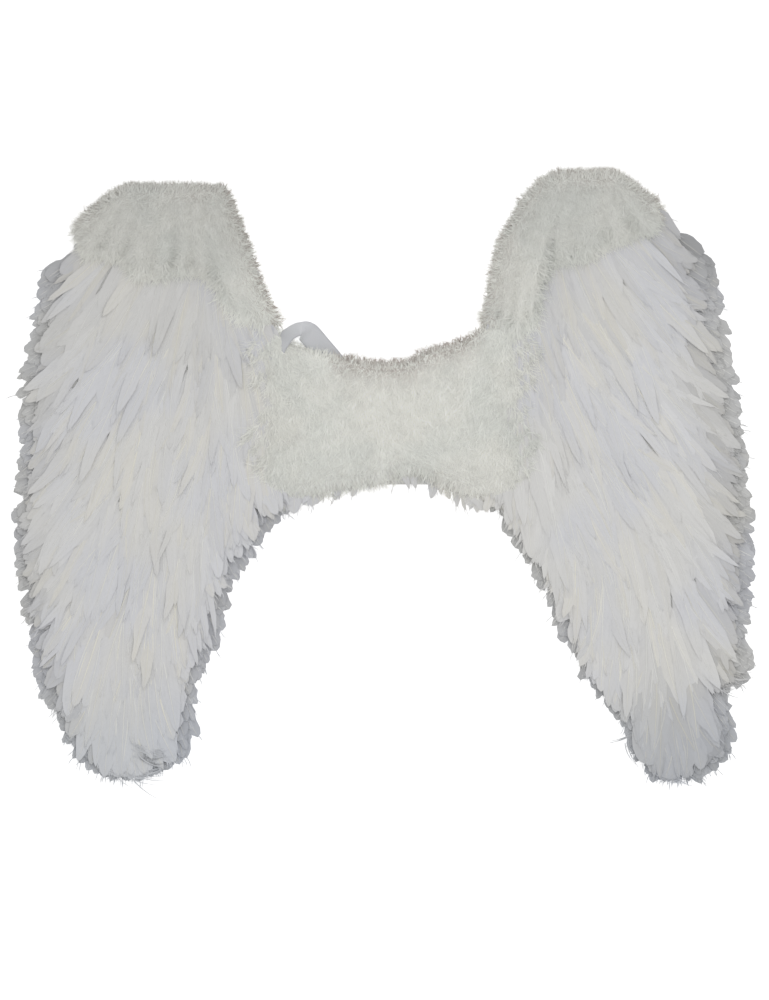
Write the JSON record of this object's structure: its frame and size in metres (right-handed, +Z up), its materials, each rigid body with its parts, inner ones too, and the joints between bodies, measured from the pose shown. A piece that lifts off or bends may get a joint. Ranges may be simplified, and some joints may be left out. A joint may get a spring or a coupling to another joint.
{
  "type": "feather costume angel wings",
  "caption": "White feather costume wings: two fanned, shingled feather wings with fur-capped tops, joined by a furry yoke with elastic shoulder loops, lying on their back.",
  "frame": {"origin": "middle of the outline, on the surface that the wings lie on", "axes": "+X across both wings towards the picture's right, +Y towards the shoulders, +Z up out of the feathered face"},
  "size_m": [0.8066, 0.672, 0.0443],
  "materials": {
    "feather": "matt white feather vane with pale cream quills",
    "back_feather": "matt bluish white feathers on a plain white backing",
    "fur": "deep fluffy white fur",
    "backing": "plain stiff white backing",
    "elastic": "woven white elastic"
  },
  "bodies": {
    "root": {"left_wing_base": "back_feather", "left_feather_row_1": "feather", "left_feather_row_2": "feather", "left_feather_row_3": "feather", "left_feather_row_4": "feather", "left_feather_row_5": "feather", "left_feather_row_6": "feather", "left_shoulder_fur": "fur", "right_wing_base": "back_feather", "right_feather_row_1": "feather", "right_feather_row_2": "feather", "right_feather_row_3": "feather", "right_feather_row_4": "feather", "right_feather_row_5": "feather", "right_feather_row_6": "feather", "right_shoulder_fur": "fur", "centre_panel": "backing", "centre_fur": "fur", "centre_feather_row": "feather", "left_strap": "elastic", "right_strap": "elastic"}
  },
  "joints": []
}
